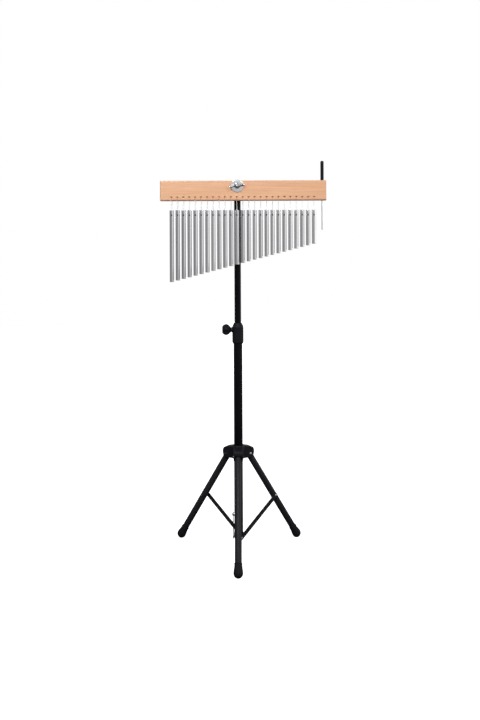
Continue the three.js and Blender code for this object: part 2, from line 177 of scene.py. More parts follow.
def revolve(bm, profile, segments=64, closed=False, reach=None):
    """A body of revolution about Z. `reach` may change a radius: reach(radius, height, angle)."""
    rings = []
    for radius, height in profile:
        if radius < 1e-7:
            rings.append([bm.verts.new((0, 0, height))])
            continue
        ring = []
        for i in range(segments):
            angle = math.tau * i / segments
            r = reach(radius, height, angle) if reach else radius
            ring.append(bm.verts.new((r * math.cos(angle), r * math.sin(angle), height)))
        rings.append(ring)
    pairs = list(zip(rings, rings[1:]))
    if closed:
        pairs.append((rings[-1], rings[0]))
    for low, high in pairs:
        for i in range(segments):
            j = (i + 1) % segments
            corners = [low[i % len(low)], low[j % len(low)], high[j % len(high)], high[i % len(high)]]
            bm.faces.new(list(dict.fromkeys(corners)))


def in_mm(points):
    return [tuple(v * MM for v in point) for point in points]


def slab(bm, outline, levels):
    """Stacked copies of outline(inset), closed at both ends. levels are (inset, z)."""
    rings = [[bm.verts.new((a, b, z)) for a, b in outline(inset)] for inset, z in levels]
    for low, high in zip(rings, rings[1:]):
        for i in range(len(low)):
            j = (i + 1) % len(low)
            bm.faces.new((low[i], low[j], high[j], high[i]))
    bm.faces.new(rings[0])
    bm.faces.new(rings[-1])


def rounded_rectangle(a, b, corner, steps=6):
    """An outline function for slab(), centred on the origin."""

    def outline(inset):
        x, y, r = a / 2 - corner, b / 2 - corner, corner - inset
        corners = [(x, y, 0), (-x, y, 90), (-x, -y, 180), (x, -y, 270)]
        return [p for cx, cy, start in corners for p in arc((cx, cy), r, start, start + 90, steps)]

    return outline


def capsule(length, half_width, steps=14):
    """An outline function for slab(): a strip with round ends, centred on 0 and on `length` along X."""

    def outline(inset):
        r = half_width - inset
        return arc((length, 0), r, -90, 90, steps) + arc((0, 0), r, 90, 270, steps)

    return outline


def edge_levels(low, high, soft, steps=4):
    """Levels for slab() with rounded upper and lower edges."""
    quarter = [math.radians(90 * k / steps) for k in range(steps + 1)]
    lower = [(soft * (1 - math.sin(t)), low + soft * (1 - math.cos(t))) for t in quarter]
    return lower + [(inset, low + high - z) for inset, z in reversed(lower)]


def tube_along(bm, points, radius, sides=8, closed=False):
    """A tube along points that lie close to one plane of constant X."""
    count = len(points)
    rings = []
    for i, here in enumerate(points):
        before = points[i - 1] if closed or i else here
        after = points[(i + 1) % count] if closed or i < count - 1 else here
        forward = (after - before).normalized()
        across = Vector((1, 0, 0))
        other = forward.cross(across)
        ring = []
        for k in range(sides):
            angle = math.tau * k / sides
            ring.append(bm.verts.new(here + (across * math.cos(angle) + other * math.sin(angle)) * radius))
        rings.append(ring)
    pairs = list(zip(rings, rings[1:]))
    if closed:
        pairs.append((rings[-1], rings[0]))
    else:
        bm.faces.new(rings[0])
        bm.faces.new(rings[-1])
    for low, high in pairs:
        for k in range(sides):
            m = (k + 1) % sides
            bm.faces.new((low[k], low[m], high[m], high[k]))


# ---------- Objects ----------
def made(name, build, place=None, crease=35):
    """A new object whose mesh is filled in by build(bm), shaded smooth up to that crease angle."""
    bm = bmesh.new()
    build(bm)
    bmesh.ops.recalc_face_normals(bm, faces=bm.faces)
    mesh = bpy.data.meshes.new(name)
    bm.to_mesh(mesh)
    bm.free()
    obj = bpy.data.objects.new(name, mesh)
    bpy.context.collection.objects.link(obj)
    obj.matrix_world = place or Matrix.Identity(4)
    shade(obj, crease)
    return obj


def shade(obj, crease=35):
    obj.data.shade_smooth()
    obj.data.set_sharp_from_angle(angle=math.radians(crease))


def applied(obj, crease=35):
    """Turns the object's modifiers into its mesh."""
    bpy.context.view_layer.update()
    result = bpy.data.meshes.new_from_object(obj.evaluated_get(bpy.context.evaluated_depsgraph_get()))
    old = obj.data
    obj.modifiers.clear()
    obj.data = result
    result.name = obj.name
    bpy.data.meshes.remove(old)
    shade(obj, crease)
    return obj


def carved(obj, cutter, operation="DIFFERENCE", crease=35):
    """Cuts the cutter out of the object, or joins it on with UNION, and drops the cutter."""
    bpy.context.view_layer.update()
    boolean = obj.modifiers.new("carve", "BOOLEAN")
    boolean.operation = operation
    boolean.solver = "EXACT"
    boolean.object = cutter
    applied(obj, crease)
    bpy.data.objects.remove(cutter)
    return obj


def cast(obj, voxel, rounds, keep, crease=60):
    """Rounds every edge of a moulded or cast piece by remeshing it finely and smoothing it."""
    remesh = obj.modifiers.new("remesh", "REMESH")
    remesh.mode = "VOXEL"
    remesh.voxel_size = voxel
    relax = obj.modifiers.new("relax", "SMOOTH")
    relax.factor = 0.5
    relax.iterations = rounds
    thin = obj.modifiers.new("thin", "DECIMATE")
    thin.ratio = keep
    return applied(obj, crease)


def finished(obj, material, slot, body, *nodes):
    """Gives a piece its material and body, and hides the CAD nodes that it stands for. The slot is not used.
    """
    obj.data.materials.clear()
    obj.data.materials.append(material)
    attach(obj, body)
    if nodes:
        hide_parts(*nodes)
    return obj


def rod_cutter(radius, low, high, place=None, segments=32):
    profile = [(0, low), (radius, low), (radius, high), (0, high)]
    return made("cutter", lambda bm: revolve(bm, profile, segments), place)


# ---------- Materials ----------
class Shader:
    """A new node material round one Principled shader, with short calls for the nodes used here."""

    def __init__(self, name, **values):
        self.material = bpy.data.materials.new(name)
        self.material.use_nodes = True
        self.nodes = self.material.node_tree.nodes
        self.links = self.material.node_tree.links
        self.surface = self.nodes["Principled BSDF"]
        for socket, value in values.items():
            self.surface.inputs[socket.replace("_", " ")].default_value = value
        self.place = self.nodes.new("ShaderNodeTexCoord").outputs["Object"]

    def node(self, kind, output=0, **inputs):
        """Adds a node. Inputs go by socket name, as a value or as another node's output."""
        node = self.nodes.new("ShaderNode" + kind)
        for socket, value in inputs.items():
            self.feed(node.inputs[socket.replace("_", " ")], value)
        return node.outputs[output]

    def feed(self, socket, value):
        if isinstance(value, bpy.types.NodeSocket):
            self.links.new(value, socket)
        else:
            socket.default_value = value

    def stretched(self, x, y, z):
        """The object's coordinates, stretched before a texture reads them."""
        return self.node("Mapping", Vector=self.place, Scale=(x, y, z))

    def noise(self, scale, detail=3.0, roughness=0.5, vector=None, distortion=0.0):
        vector = vector or self.place
        return self.node(
            "TexNoise", Vector=vector, Scale=scale, Detail=detail, Roughness=roughness, Distortion=distortion
        )

    def ranged(self, value, low, high, to_low, to_high):
        node = self.nodes.new("ShaderNodeMapRange")
        for index, given in enumerate((value, low, high, to_low, to_high)):
            self.feed(node.inputs[index], given)
        return node.outputs[0]

    def ramp(self, value, *stops):
        node = self.nodes.new("ShaderNodeValToRGB")
        self.links.new(value, node.inputs[0])
        elements = node.color_ramp.elements
        while len(elements) < len(stops):
            elements.new(0.5)
        for element, (position, color) in zip(elements, stops):
            element.position = position
            element.color = (*color, 1)
        return node.outputs[0]

    def mixed(self, share, first, second, blend="MIX"):
        node = self.nodes.new("ShaderNodeMix")
        node.data_type = "RGBA"
        node.blend_type = blend
        for index, given in ((0, share), (6, first), (7, second)):
            if isinstance(given, tuple):
                given = (*given, 1)
            self.feed(node.inputs[index], given)
        return node.outputs[2]

    def maths(self, operation, first, second=0.0):
        node = self.nodes.new("ShaderNodeMath")
        node.operation = operation
        self.feed(node.inputs[0], first)
        self.feed(node.inputs[1], second)
        return node.outputs[0]

    def coordinate(self, axis):
        """The object's X, Y or Z as axis 0, 1 or 2."""
        return self.node("SeparateXYZ", axis, Vector=self.place)

    def color(self, value):
        self.feed(self.surface.inputs["Base Color"], value)

    def rough(self, value):
        self.feed(self.surface.inputs["Roughness"], value)

    def bumped(self, *layers):
        """Layers are (height, strength, distance in metres)."""
        normal = None
        for height, strength, distance in layers:
            node = self.nodes.new("ShaderNodeBump")
            node.inputs["Strength"].default_value = strength
            node.inputs["Distance"].default_value = distance
            self.links.new(height, node.inputs["Height"])
            if normal:
                self.links.new(normal, node.inputs["Normal"])
            normal = node.outputs["Normal"]
        self.links.new(normal, self.surface.inputs["Normal"])


def beech_wood():
    """Clear-lacquered beech, with the grain along X, short dark flecks and end grain on the ends."""
    s = Shader("beech_wood", Metallic=0.0, Coat_Weight=0.25, Coat_Roughness=0.22, Specular_IOR_Level=0.4)
    bands = s.noise(26, 3, 0.55, s.stretched(0.18, 1, 2.2), 0.6)
    lines = s.noise(520, 4, 0.62, s.stretched(0.02, 1, 1), 0.15)
    fibres = s.noise(1700, 2, 0.5, s.stretched(0.012, 1, 1))
    cell_place = s.stretched(130, 900, 900)
    flecks = s.node("TexVoronoi", Vector=cell_place, Scale=1.0)
    fleck = s.ranged(flecks, 0.1, 0.24, 1, 0)
    sparse = s.ranged(s.noise(160, 2, 0.5, s.stretched(0.3, 1, 1)), 0.5, 0.62, 0, 1)
    blotches = s.noise(9, 2, 0.5, s.stretched(0.5, 1, 1.4))

    body = s.ramp(bands, (0.3, (0.55, 0.294, 0.162)), (0.7, (0.64, 0.365, 0.214)))
    pinker = s.mixed(s.ranged(blotches, 0.42, 0.68, 0, 0.4), body, (0.59, 0.308, 0.196))
    streaked = s.mixed(s.ranged(lines, 0.4, 0.72, 0, 0.44), pinker, (0.42, 0.194, 0.095))
    fine = s.mixed(s.ranged(fibres, 0.45, 0.75, 0, 0.22), streaked, (0.45, 0.23, 0.122))
    dark = s.maths("MULTIPLY", s.maths("MULTIPLY", fleck, sparse), 0.75)
    flecked = s.mixed(dark, fine, (0.29, 0.128, 0.064))

    normal = s.nodes.new("ShaderNodeNewGeometry").outputs["Normal"]
    along = s.maths("ABSOLUTE", s.node("SeparateXYZ", Vector=normal))
    rings = s.nodes.new("ShaderNodeTexWave")
    rings.wave_type = "RINGS"
    rings.rings_direction = "X"
    s.feed(rings.inputs["Vector"], s.node("Mapping", Vector=s.place, Location=(0, 0.08, -0.9)))
    for socket, value in (("Scale", 120), ("Distortion", 1.6), ("Detail", 3), ("Detail Scale", 2)):
        rings.inputs[socket].default_value = value
    end_grain = s.ramp(rings.outputs[1], (0.0, (0.4, 0.2, 0.104)), (1.0, (0.56, 0.32, 0.184)))
    height = s.coordinate(2)
    above_edge = s.maths("SUBTRACT", height, BEAM_LOW.z)
    # Painted shade: the wood is darkened within a few millimetres of the beam's underside, standing for the
    # shade on its rounded lower edge.
    painted_edge_shade = s.ranged(above_edge, 1.2 * MM, 5.6 * MM, 0.82, 0)
    whole = s.mixed(s.ranged(along, 0.75, 0.95, 0, 1), flecked, end_grain)
    with_painted_edge_shade = s.mixed(painted_edge_shade, whole, (0.15, 0.068, 0.034))

    first, last = middle(BARS[0]).x, middle(BARS[-1]).x
    pitch = (last - first) / (len(BARS) - 1)
    x = s.coordinate(0)
    beside = s.maths("PINGPONG", s.maths("SUBTRACT", x, first), pitch / 2)
    off_middle = s.maths("ABSOLUTE", s.maths("SUBTRACT", x, (first + last) / 2))
    off_level = s.maths("ABSOLUTE", s.maths("SUBTRACT", height, CORD_HOLE_HEIGHT))
    # Painted shade: a dark patch round each cord hole, standing for the shadow inside the hole.
    near = s.ranged(beside, 1.6 * MM, 4.6 * MM, 0.8, 0)
    painted_hole_shade = s.maths("MULTIPLY", near, s.ranged(off_level, MM, 2.4 * MM, 1, 0))
    in_row = s.ranged(off_middle, (last - first + pitch) / 2 - MM, (last - first + pitch) / 2, 1, 0)
    s.color(s.mixed(s.maths("MULTIPLY", painted_hole_shade, in_row), with_painted_edge_shade, (0.25, 0.095, 0.035)))
    s.rough(s.ranged(lines, 0.3, 0.7, 0.36, 0.5))
    s.bumped((lines, 0.12, 0.12 * MM), (fleck, 0.1, 0.08 * MM))
    return s.material


def drawn_aluminium():
    """Drawn bar: faint lines along it, a slightly different tone for each bar, cloudy in places, with painted
    light that makes the bars lighter towards the right and painted shade round the cross holes.
    """
    s = Shader("drawn_aluminium", Metallic=1.0)
    lines = s.noise(1500, 3, 0.6, s.stretched(1, 1, 0.012))
    clouds = s.noise(48, 3, 0.55, s.stretched(1, 1, 0.5))
    each = s.noise(34, 0, 0.5, s.stretched(1, 0, 0))
    # Painted light: on top of each bar's own tone, the bars run lighter towards the right, where the light is
    # brighter.
    across = s.ranged(s.coordinate(0), -0.19, 0.22, 0.0, 0.5)
    mix = s.maths("ADD", s.ranged(each, 0.3, 0.7, 0.0, 0.5), across)
    tone = s.ramp(mix, (0.1, (0.51, 0.51, 0.535)), (0.9, (0.71, 0.71, 0.72)))
    cloudy = s.mixed(s.ranged(clouds, 0.4, 0.7, 0, 0.1), tone, (0.48, 0.48, 0.49))
    lined = s.mixed(s.ranged(lines, 0.4, 0.75, 0, 0.08), cloudy, (0.74, 0.74, 0.75))

    first, pitch = middle(BARS[0]).x, middle(BARS[1]).x - middle(BARS[0]).x
    x = s.coordinate(0)
    height = s.coordinate(2)
    hole_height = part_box(BARS[0])[1].z - CROSS_HOLE_BELOW_BAR_TOP
    beside = s.maths("PINGPONG", s.maths("SUBTRACT", x, first), pitch / 2)
    off_level = s.maths("ABSOLUTE", s.maths("SUBTRACT", height, hole_height))
    # Painted shade: a dark patch round each cross hole, standing for the shadow inside the hole.
    near = s.ranged(beside, 1.6 * MM, 2.6 * MM, 0.85, 0)
    painted_hole_shade = s.maths("MULTIPLY", near, s.ranged(off_level, 1.6 * MM, 2.8 * MM, 1, 0))
    s.color(s.mixed(painted_hole_shade, lined, (0.1, 0.1, 0.105)))
    s.rough(s.ranged(clouds, 0.3, 0.7, 0.1, 0.14))
    return s.material


def black_paint(name, dark, light):
    """Semi-gloss powder coat with a fine orange peel and a little wear."""
    s = Shader(name, Metallic=0.0, Specular_IOR_Level=0.06)
    peel = s.noise(900, 2, 0.5)
    haze = s.noise(35, 4, 0.6, s.stretched(1, 1, 0.25))
    s.color(s.ramp(haze, (0.35, dark), (0.7, light)))
    s.rough(s.ranged(haze, 0.35, 0.7, 0.22, 0.32))
    s.bumped((peel, 0.14, 0.06 * MM))
    return s.material


def moulded_plastic():
    """Black polyamide with the fine spark-eroded grain of its mould, paler where hands rub it."""
    s = Shader("moulded_plastic", Metallic=0.0, Specular_IOR_Level=0.1)
    grain = s.noise(3200, 2, 0.6)
    flow = s.noise(60, 3, 0.55)
    rubbed = s.ranged(s.nodes.new("ShaderNodeNewGeometry").outputs["Pointiness"], 0.5, 0.56, 0, 0.5)
    plain = s.ramp(flow, (0.3, (0.004, 0.004, 0.0058)), (0.7, (0.0068, 0.0068, 0.0095)))
    s.color(s.mixed(rubbed, plain, (0.016, 0.016, 0.02)))
    s.rough(s.ranged(grain, 0.3, 0.7, 0.42, 0.6))
    s.bumped((grain, 0.22, 0.05 * MM), (flow, 0.05, 0.2 * MM))
    return s.material


def moulded_rubber():
    """Matt black rubber with dust in its pores."""
    s = Shader("moulded_rubber", Metallic=0.0, Specular_IOR_Level=0.12)
    pores = s.noise(2400, 3, 0.6)
    dust = s.noise(140, 4, 0.65)
    plain = s.ramp(pores, (0.3, (0.0042, 0.0042, 0.006)), (0.7, (0.0075, 0.0075, 0.01)))
    s.color(s.mixed(s.ranged(dust, 0.55, 0.78, 0, 0.35), plain, (0.02, 0.02, 0.019)))
    s.rough(s.ranged(dust, 0.3, 0.7, 0.62, 0.82))
    s.bumped((pores, 0.3, 0.08 * MM))
    return s.material


def rivet_steel():
    """Zinc-plated, but for the far end, which the riveting tool leaves black. Z runs to the head."""
    s = Shader("rivet_steel")
    mottle = s.noise(1100, 4, 0.65)
    plated = s.maths("GREATER_THAN", s.coordinate(2), 0.0)
    bright = s.ramp(mottle, (0.3, (0.36, 0.365, 0.37)), (0.7, (0.5, 0.505, 0.51)))
    s.color(s.mixed(plated, (0.008, 0.008, 0.009), bright))
    s.feed(s.surface.inputs["Metallic"], plated)
    s.rough(s.ranged(mottle, 0.3, 0.7, 0.3, 0.45))
    s.bumped((mottle, 0.15, 0.03 * MM))
    return s.material


def zinc_steel():
    """Bright zinc-plated steel: a fine crystal mottle and turning marks."""
    s = Shader("zinc_steel", Metallic=1.0)
    mottle = s.noise(900, 4, 0.65)
    turning = s.noise(2600, 2, 0.5, s.stretched(0.05, 0.05, 1))
    s.color(s.ramp(mottle, (0.3, (0.62, 0.625, 0.635)), (0.7, (0.78, 0.785, 0.79))))
    s.rough(s.ranged(mottle, 0.3, 0.7, 0.22, 0.38))
    s.bumped((turning, 0.15, 0.03 * MM))
    return s.material


def chrome_plate():
    """Polished chrome over a casting: soft ripples, hairline scratches and a painted darker centre round the
    stud.
    """
    s = Shader("chrome_plate", Metallic=1.0)
    ripples = s.noise(170, 2, 0.5)
    hairlines = s.noise(2200, 2, 0.5, s.stretched(1, 0.04, 0.3))
    plating = s.ramp(ripples, (0.3, (0.86, 0.87, 0.89)), (0.7, (0.92, 0.925, 0.935)))
    # Painted reflection and shade: the colour darkens within about 9 mm of the stud's line, standing for the
    # dark reflection in the wing nut's boss and the shade round it on the front washer.
    round_stud = s.nodes.new("ShaderNodeTexGradient")
    round_stud.gradient_type = "SPHERICAL"
    s.feed(round_stud.inputs[0], s.stretched(1, 1, 0))
    boss = s.ranged(round_stud.outputs[1], 1 - 9.2 * MM, 1 - 7.6 * MM, 0, 1)
    s.color(s.mixed(boss, plating, (0.15, 0.16, 0.19)))
    s.rough(s.ranged(hairlines, 0.4, 0.75, 0.07, 0.17))
    s.bumped((ripples, 0.06, 0.1 * MM), (hairlines, 0.02, 0.006 * MM))
    return s.material


def nylon():
    """Twisted nylon line, milky where it hangs free and clear where it lies against the wood or a bar."""
    s = Shader("nylon", Metallic=0.0, Specular_IOR_Level=0.1)
    height = s.coordinate(2)
    below_wood = s.ranged(height, BEAM_LOW.z, BEAM_LOW.z + 2 * MM, 1, 0)
    bar_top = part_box(BARS[0])[1].z
    free = s.maths("MULTIPLY", below_wood, s.ranged(height, bar_top - 2 * MM, bar_top, 0, 1))
    s.feed(s.surface.inputs["Transmission Weight"], s.ranged(free, 0, 1, 1, 0.55))
    s.feed(s.surface.inputs["IOR"], s.ranged(free, 0, 1, 1.01, 1.4))
    twist = s.nodes.new("ShaderNodeTexWave")
    twist.bands_direction = "DIAGONAL"
    s.feed(twist.inputs["Vector"], s.place)
    twist.inputs["Scale"].default_value = 520
    s.color(s.ramp(twist.outputs[1], (0.0, (0.84, 0.84, 0.84)), (1.0, (0.95, 0.95, 0.95))))
    s.rough(s.maths("MULTIPLY", s.ranged(twist.outputs[1], 0, 1, 0.5, 0.35), free))
    s.bumped((twist.outputs[1], 0.4, 0.1 * MM))
    return s.material


BEECH = beech_wood()
ALUMINIUM = drawn_aluminium()
# The same powder coat in two colours: the legs and braces get the lighter one as painted light, standing for
# the light from above that their tilt catches.
MAST_PAINT = black_paint("mast_paint", (0.0014, 0.0014, 0.0023), (0.003, 0.003, 0.0043))
LEG_PAINT_PAINTED_LIGHTER = black_paint("leg_paint_painted_lighter", (0.0128, 0.0128, 0.0152), (0.0195, 0.0195, 0.0225))
PLASTIC = moulded_plastic()
RUBBER = moulded_rubber()
ZINC = zinc_steel()
RIVET = rivet_steel()
CHROME = chrome_plate()
NYLON = nylon()


# ---------- Camera ----------
CAMERA_PLACE = Vector((0.022, -2.452, 0.931))
CAMERA_ROLL = -0.25  # degrees; the content leans the other way
LENS = 42.3  # millimetres, for a 36 mm long side
CONTENT_TO_RIGHT = 0.007  # of the picture's long side, as is the next
RISE_OF_CONTENT = 0.183


def camera():
    data = bpy.data.cameras.new("camera")
    data.sensor_width = 36
    data.lens = LENS
    data.shift_x = -CONTENT_TO_RIGHT
    data.shift_y = -RISE_OF_CONTENT
    data.clip_start = 0.05
    data.clip_end = 60
    obj = bpy.data.objects.new("camera", data)
    bpy.context.collection.objects.link(obj)
    level = turned_about("X", 90) @ turned_about("Z", CAMERA_ROLL)
    obj.matrix_world = Matrix.Translation(CAMERA_PLACE) @ level
    bpy.context.scene.camera = obj


camera()

# ---------- Cords ----------
CORD_RADIUS = 0.45 * MM
CORD_STEP = 3 * MM
CORD_TWIST = 0.07  # how far the two strands of a loop stand apart sideways, as a share of their depth apart


def evenly(points, step):
    """The same closed line with extra points, so that no stretch is longer than the step."""
    spread = []
    for i, start in enumerate(points):
        end = points[(i + 1) % len(points)]
        parts = max(1, math.ceil((end - start).length / step))
        spread += [start.lerp(end, k / parts) for k in range(parts)]
    return spread


def cord_route(bar):
    """The loop seen from the side, as [y, z]: through the beam, down both faces and through the bar."""
    low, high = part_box(bar)
    cross_hole = high.z - CROSS_HOLE_BELOW_BAR_TOP
    corner = BEAM_LOW.z + 2.5 * MM
    beam_front, beam_back = BEAM_LOW.y - CORD_RADIUS, BEAM_HIGH.y + CORD_RADIUS
    bar_front, bar_back = low.y - CORD_RADIUS, high.y + CORD_RADIUS
    return [
        (beam_front, CORD_HOLE_HEIGHT, 1.5 * MM),
        (beam_front, corner, 2 * MM),
        (bar_front, high.z, 3 * MM),
        (bar_front, cross_hole, 1.4 * MM),
        (bar_back, cross_hole, 1.4 * MM),
        (bar_back, high.z, 3 * MM),
        (beam_back, corner, 2 * MM),
        (beam_back, CORD_HOLE_HEIGHT, 1.5 * MM),
    ]


def knot(bm, where):
    """A small overhand knot: a trefoil of the same cord, with its two trimmed ends."""
    turns = 40
    points = []
    for k in range(turns):
        t = math.tau * k / turns
        a = math.sin(t) + 2 * math.sin(2 * t)
        b = math.cos(t) - 2 * math.cos(2 * t)
        points.append(where + Vector((a * 0.62, -math.sin(3 * t) * 0.62, b * 0.62)) * MM)
    frames = []
    for k, here in enumerate(points):
        forward = (points[(k + 1) % turns] - points[k - 1]).normalized()
        across = forward.cross(Vector((0, 1, 0))).normalized()
        frames.append((here, across, forward.cross(across)))
    rings = []
    for here, across, other in frames:
        angles = [math.tau * k / 8 for k in range(8)]
        rings.append(
            [bm.verts.new(here + (across * math.cos(t) + other * math.sin(t)) * CORD_RADIUS) for t in angles]
        )
    for k, low in enumerate(rings):
        high = rings[(k + 1) % turns]
        for i in range(8):
            bm.faces.new((low[i], low[(i + 1) % 8], high[(i + 1) % 8], high[i]))
    for lean in (-1, 1):
        start = where + Vector((lean * 1.2, 0.2, -0.4)) * MM
        end = start + Vector((lean * 1.6, 0.9, -3.2)) * MM
        tube_along(bm, [start, start.lerp(end, 0.5) + Vector((0, 0.3, 0)) * MM, end], CORD_RADIUS)


def cord_loop(bar):
    x = middle(bar).x
    route = softened(cord_route(bar), closed=True)
    twisted = [Vector((x + CORD_TWIST * (y - BEAM_MIDDLE.y), y, z)) for y, z in route]
    line = evenly(twisted, CORD_STEP)
    knot_place = Vector((x, BEAM_HIGH.y + 2.2 * MM, CORD_HOLE_HEIGHT + 0.4 * MM))

    def build(bm):
        tube_along(bm, line, CORD_RADIUS, 10, closed=True)
        knot(bm, knot_place)

    cord = made("cord_" + bar[-2:], build, crease=80)
    cord.data.materials.append(NYLON)
    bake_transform(cord)


for bar in BARS:
    cord_loop(bar)

# ---------- Beam ----------
CORD_HOLE_RADIUS = 1.4 * MM
CROSS_HOLE_RADIUS = 1.7 * MM
STUD_HOLE_RADIUS = 4.6 * MM
STRIKER_HOLE_RADIUS = 2.7 * MM


def countersunk(radius, low, high, sink):
    """The profile of a cutter for a hole from low to high, a little wider at both mouths."""
    return [
        (0, low - MM),
        (radius + sink + MM, low - MM),
        (radius, low + sink),
        (radius, high - sink),
        (radius + sink + MM, high + MM),
        (0, high + MM),
    ]


def cord_hole(bm, place, radius, near, far):
    """Cuts a cord's hole. A thin web is left half-way in, so that no daylight shows past the cord."""
    web = 0.8 * MM
    half = (near + far) / 2
    for mouth, inner, out in ((near, half - web, -MM), (far, half + web, MM)):
        cone = [(0, mouth + out), (radius + 1.5 * MM, mouth + out), (radius, mouth - out / 2)]
        placed(bm, place, lambda bm: revolve(bm, cone + [(radius, inner), (0, inner)], 20))


def placed(bm, place, build):
    """Runs build(bm) and moves only what it added."""
    before = set(bm.verts)
    build(bm)
    bmesh.ops.transform(bm, matrix=place, verts=[v for v in bm.verts if v not in before])


def beam_wood():
    extent = size("beam")
    plan = rounded_rectangle(extent.x, extent.y, 4 * MM)
    levels = edge_levels(BEAM_LOW.z, BEAM_HIGH.z, 2.4 * MM)
    centred = moved(BEAM_MIDDLE.x, BEAM_MIDDLE.y, 0)
    wood = made("beam_wood", lambda bm: placed(bm, centred, lambda bm: slab(bm, plan, levels)))

    def holes(bm):
        near, far = -BEAM_HIGH.y, -BEAM_LOW.y
        for bar in BARS:
            at = moved(middle(bar).x, 0, CORD_HOLE_HEIGHT) @ TO_PLAYER
            cord_hole(bm, at, CORD_HOLE_RADIUS, near, far)
        profile = countersunk(STUD_HOLE_RADIUS, near, far, 0.5 * MM)
        placed(bm, stud_place(), lambda bm: revolve(bm, profile, 32))
        at = moved(middle("striker_rod").x, BEAM_MIDDLE.y, 0)
        profile = countersunk(STRIKER_HOLE_RADIUS, BEAM_LOW.z, BEAM_HIGH.z, 0.5 * MM)
        placed(bm, at, lambda bm: revolve(bm, profile, 24))

    carved(wood, made("cutter", holes))
    wood.modifiers.new("normals", "WEIGHTED_NORMAL").keep_sharp = True
    finished(wood, BEECH, "beech", "chime_beam", "beam")


# ---------- Bars ----------
def chime_bar(node):
    low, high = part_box(node)
    radius = size(node).x / 2
    centre = middle(node)
    edge = 0.7 * MM
    profile = softened([(0, low.z), (radius, low.z, edge), (radius, high.z, edge), (0, high.z)])
    upright = moved(centre.x, centre.y, 0)
    bar = made(node + "_rod", lambda bm: placed(bm, upright, lambda bm: revolve(bm, profile, 40)))
    across = moved(centre.x, centre.y, high.z - CROSS_HOLE_BELOW_BAR_TOP) @ TO_PLAYER
    carved(bar, made("cutter", lambda bm: cord_hole(bm, across, CROSS_HOLE_RADIUS, -radius, radius)))
    finished(bar, ALUMINIUM, "aluminium", node, node)


# ---------- Striker ----------
def striker():
    low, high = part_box("striker_rod")
    radius = size("striker_rod").x / 2
    centre = middle("striker_rod")
    at = moved(centre.x, centre.y, 0)
    profile = softened([(0, low.z), (radius, low.z, 1.2 * MM), (radius, high.z, 0.4 * MM), (0, high.z)])
    rod = made("striker_steel", lambda bm: revolve(bm, profile, 32), at)
    finished(rod, ZINC, "steel", "striker", "striker_rod")

    grip_low, grip_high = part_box("striker_grip")
    r = size("striker_grip").x / 2
    bore = radius + 0.3 * MM
    profile = [
        (0, high.z + 0.3 * MM),
        (bore, high.z + 0.3 * MM),
        (bore, grip_low.z),
        (r - 0.5 * MM, grip_low.z, 0.3 * MM),
        (r, grip_low.z + 1.4 * MM, 0.8 * MM),
        (r, grip_high.z - 3.6 * MM),
    ]
    top = arc((0, grip_high.z - 3.6 * MM), 1, 0, 90, 8)
    dome = [(a * r, grip_high.z - 3.6 * MM + (b - grip_high.z + 3.6 * MM) * 3.6 * MM) for a, b in top[1:]]
    grip = made("striker_sleeve", lambda bm: revolve(bm, softened(profile) + dome, 40), at)
    finished(grip, RUBBER, "black_plastic", "striker", "striker_grip")


# ---------- Head ----------
def stud_place():
    """Z runs along the stud towards the player, from the mast's axis."""
    return moved(0, 0, STUD_HEIGHT) @ TO_PLAYER


def head_block():
    low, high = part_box("head_block")
    extent = size("head_block")
    plan = rounded_rectangle(extent.x, extent.y, 5 * MM)
    block = made("head_casting", lambda bm: slab(bm, plan, edge_levels(low.z, high.z, 1.4 * MM)))
    tube = size("upper_tube").x / 2 + 0.3 * MM
    carved(block, rod_cutter(tube, low.z - MM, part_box("upper_tube")[1].z + 0.3 * MM, segments=48))
    carved(block, rod_cutter(4.3 * MM, -20 * MM, 20 * MM, stud_place()))
    block.modifiers.new("normals", "WEIGHTED_NORMAL").keep_sharp = True
    finished(block, PLASTIC, "black_plastic", "upper_mast", "head_block")


def stud():
    radius, pitch, depth = 4 * MM, 1.25 * MM, 0.65 * MM
    thread_start, thread_end = 34 * MM, 51 * MM
    rows = 110
    head = [
        (0, -16.4 * MM),
        (4.2 * MM, -16 * MM, 1.5 * MM),
        (7.2 * MM, -14.4 * MM, 1.5 * MM),
        (8 * MM, -12.6 * MM, 0.4 * MM),
        (radius, -12.5 * MM),
    ]
    thread = [(radius, thread_start + (thread_end - thread_start) * i / rows) for i in range(rows + 1)]

    def cut(r, height, angle):
        if not thread_start < height < thread_end:
            return r
        turn = (height / pitch - angle / math.tau) % 1
        return r - depth * (1 - abs(2 * turn - 1))

    profile = softened(head) + thread + [(3.2 * MM, 52 * MM), (0, 52 * MM)]
    bolt = made("stud_bolt", lambda bm: revolve(bm, profile, 36, reach=cut), stud_place(), crease=60)
    finished(bolt, RIVET, "steel", "upper_mast", "beam_stud")


def washer(name, node, inner, dish, material, slot, body):
    """A washer, dished towards the player by `dish` at its middle."""
    low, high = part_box(node)
    near, far = -high.y, -low.y
    outer = size(node).x / 2
    soft = 0.5 * MM
    steps = 8
    back = [(inner + (outer - inner) * i / steps, near) for i in range(steps + 1)]
    front = [(r, far + dish * (1 - (r / outer) ** 2)) for r, _ in reversed(back)]
    ring = [*back[:-1], (outer, near, soft), (outer, far, soft), *front[1:]]
    obj = made(name, lambda bm: revolve(bm, softened(ring, closed=True), 72, closed=True), stud_place())
    return finished(obj, material, slot, body, node)


WING_PITCH = 38  # degrees that a wing is turned about its own long line, like a propeller's blade
WING_PITCH_LINE = 6 * MM  # from the washer to that line
WING_TURN = 3  # degrees that the nut is turned from wings level


